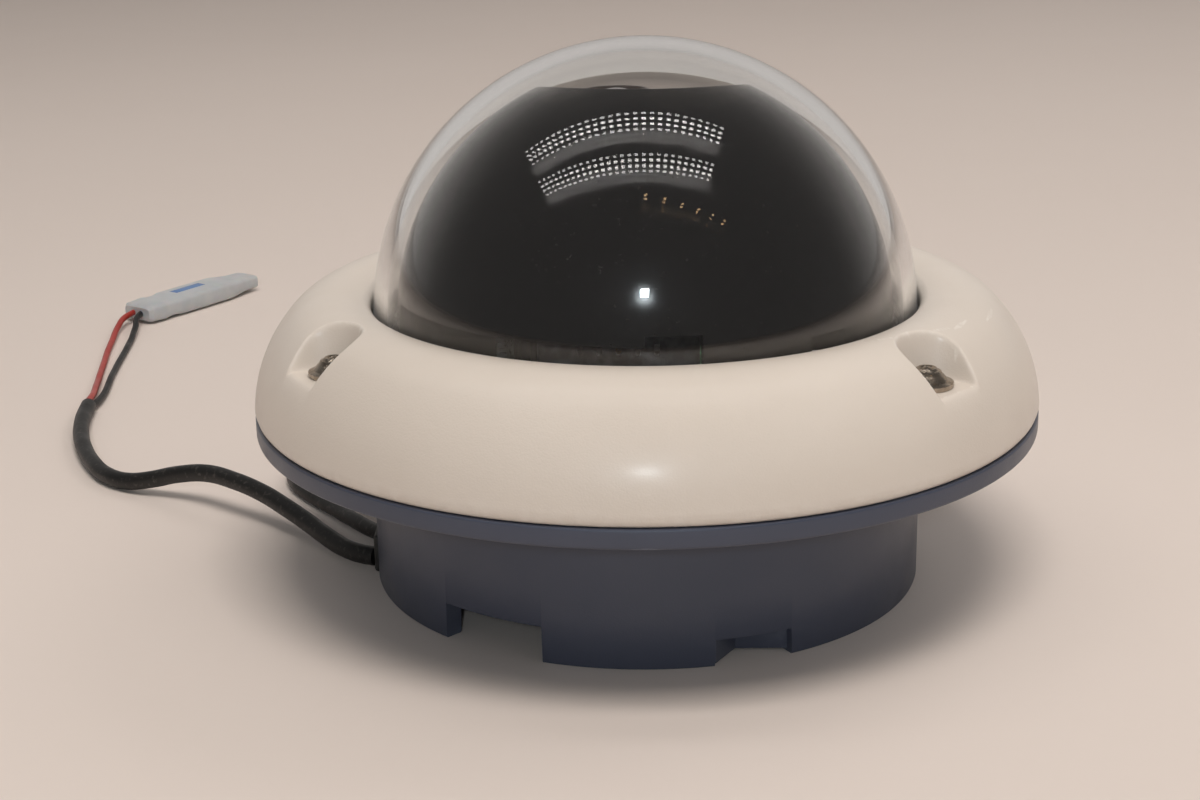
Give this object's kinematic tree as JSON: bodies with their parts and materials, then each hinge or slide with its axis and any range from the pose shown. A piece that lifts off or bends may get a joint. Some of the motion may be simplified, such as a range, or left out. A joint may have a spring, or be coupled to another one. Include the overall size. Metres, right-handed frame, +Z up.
{
  "type": "ptz dome camera",
  "caption": "Outdoor dome camera: slate cast base, cream scooped cover ring, clear dome and a geared pan, tilt and zoom camera unit behind a black slotted liner, with its cables.",
  "frame": {"origin": "centre of the barrel's bottom edge, on the pan axis, where the camera stands on a table or against a ceiling", "axes": "+Z up along the pan axis through the dome, -Y the front, +X to the right seen from the front"},
  "size_m": [0.2473, 0.3301, 0.1145],
  "materials": {
    "base_paint": "satin powder coat",
    "cover_paint": "satin powder coat",
    "rubber_black": "matt",
    "screw_steel": "plain",
    "dome_clear": "polished clear",
    "sheet_steel": "zinc plated",
    "circuit_board": "solder mask",
    "chip_black": "matt",
    "connector_ivory": "matt",
    "motor_steel": "plated",
    "slip_ring_black": "moulded",
    "bearing_steel": "ground",
    "brass_parts": "turned",
    "gear_ivory": "moulded acetal",
    "unit_black": "matt",
    "liner_gloss": "high gloss",
    "camera_grey": "matt",
    "lens_glass": "coated",
    "filter_glass": "coated",
    "carriage_grey": "matt",
    "cable_black": "smooth sheath",
    "lead_red": "smooth sheath",
    "plug_clear": "translucent",
    "plug_nickel": "nickel plated"
  },
  "bodies": {
    "enclosure": {"base_housing": "base_paint", "floor_gasket": "rubber_black", "cover_gasket": "rubber_black", "enclosure_cover": "cover_paint", "cover_screws": "screw_steel", "screw_washers": "screw_steel", "dome_window": "dome_clear", "dome_gasket": "rubber_black", "dome_retainer": "sheet_steel", "retainer_screws": "screw_steel", "chassis_plate": "sheet_steel", "chassis_screws": "screw_steel", "main_board": "circuit_board", "board_chips": "chip_black", "board_connectors": "connector_ivory", "board_screws": "screw_steel", "pan_motor": "motor_steel", "motor_screws": "screw_steel", "slip_ring_stator": "slip_ring_black", "bearing_outer_race": "bearing_steel", "cable_grommet": "rubber_black", "power_cable": "cable_black", "red_lead": "lead_red", "black_lead": "cable_black", "power_plug": "plug_clear", "plug_contacts": "brass_parts", "video_cable": "cable_black", "video_plug": "plug_nickel", "video_plug_pin": "brass_parts"},
    "pan_drive": {"pan_pinion": "gear_ivory"},
    "pan_head": {"turntable": "unit_black", "pan_gear": "gear_ivory", "bearing_inner_race": "bearing_steel", "bearing_balls": "bearing_steel", "slip_ring_rotor": "brass_parts", "yoke_arm_left": "sheet_steel", "yoke_arm_right": "sheet_steel", "yoke_screws": "screw_steel", "tilt_bushes": "brass_parts", "inner_liner": "liner_gloss", "liner_screws": "screw_steel", "tilt_motor": "motor_steel", "interface_board": "circuit_board"},
    "tilt_drive": {"tilt_pinion": "gear_ivory"},
    "tilt_head": {"tilt_cradle": "unit_black", "tilt_gear": "gear_ivory", "camera_housing": "camera_grey", "camera_back_cover": "camera_grey", "sensor_board": "circuit_board", "lens_barrel": "unit_black", "front_lens": "lens_glass", "guide_rods": "bearing_steel", "zoom_motor": "motor_steel", "focus_motor": "motor_steel"},
    "zoom_group": {"zoom_carriage": "carriage_grey"},
    "zoom_drive": {"zoom_screw": "brass_parts"},
    "focus_group": {"focus_carriage": "carriage_grey"},
    "focus_drive": {"focus_screw": "brass_parts"},
    "filter_slide": {"ir_cut_filter": "filter_glass"}
  },
  "joints": [
    {"name": "pan", "type": "hinge", "parent": "enclosure", "child": "pan_head", "pos_m": [0, 0, 0.031], "axis": [0, 0, 1], "continuous": true},
    {"name": "pan_pinion_spin", "type": "hinge", "parent": "enclosure", "child": "pan_drive", "pos_m": [0.018, -0.03118, 0.029], "axis": [0, 0, 1], "continuous": true},
    {"name": "tilt", "type": "hinge", "parent": "pan_head", "child": "tilt_head", "pos_m": [0, 0, 0.0564], "axis": [-1, 0, 0], "range_deg": [0, 75]},
    {"name": "tilt_pinion_spin", "type": "hinge", "parent": "pan_head", "child": "tilt_drive", "pos_m": [0.0275, -0.016, 0.0444], "axis": [-1, 0, 0], "range_deg": [-301, 1]},
    {"name": "zoom", "type": "slide", "parent": "tilt_head", "child": "zoom_group", "axis": [0, 0, 1], "range_m": [0, 0.01]},
    {"name": "zoom_screw_spin", "type": "hinge", "parent": "tilt_head", "child": "zoom_drive", "pos_m": [-0.0055, 0.0083, 0.0564], "axis": [0, 0, 1], "range_deg": [-1, 1801]},
    {"name": "focus", "type": "slide", "parent": "tilt_head", "child": "focus_group", "axis": [0, 0, 1], "range_m": [0, 0.0035]},
    {"name": "focus_screw_spin", "type": "hinge", "parent": "tilt_head", "child": "focus_drive", "pos_m": [-0.0055, -0.0083, 0.0564], "axis": [0, 0, 1], "range_deg": [-1, 631]},
    {"name": "filter_change", "type": "slide", "parent": "tilt_head", "child": "filter_slide", "axis": [0, 1, 0], "range_m": [0, 0.0075]}
  ],
  "couplings": [
    {"joint": "pan_pinion_spin", "follows": "pan", "ratio": -5},
    {"joint": "tilt_pinion_spin", "follows": "tilt", "ratio": -4},
    {"joint": "zoom_screw_spin", "follows": "zoom", "rad_per_m": 3141.6},
    {"joint": "focus_screw_spin", "follows": "focus", "rad_per_m": 3141.6}
  ]
}
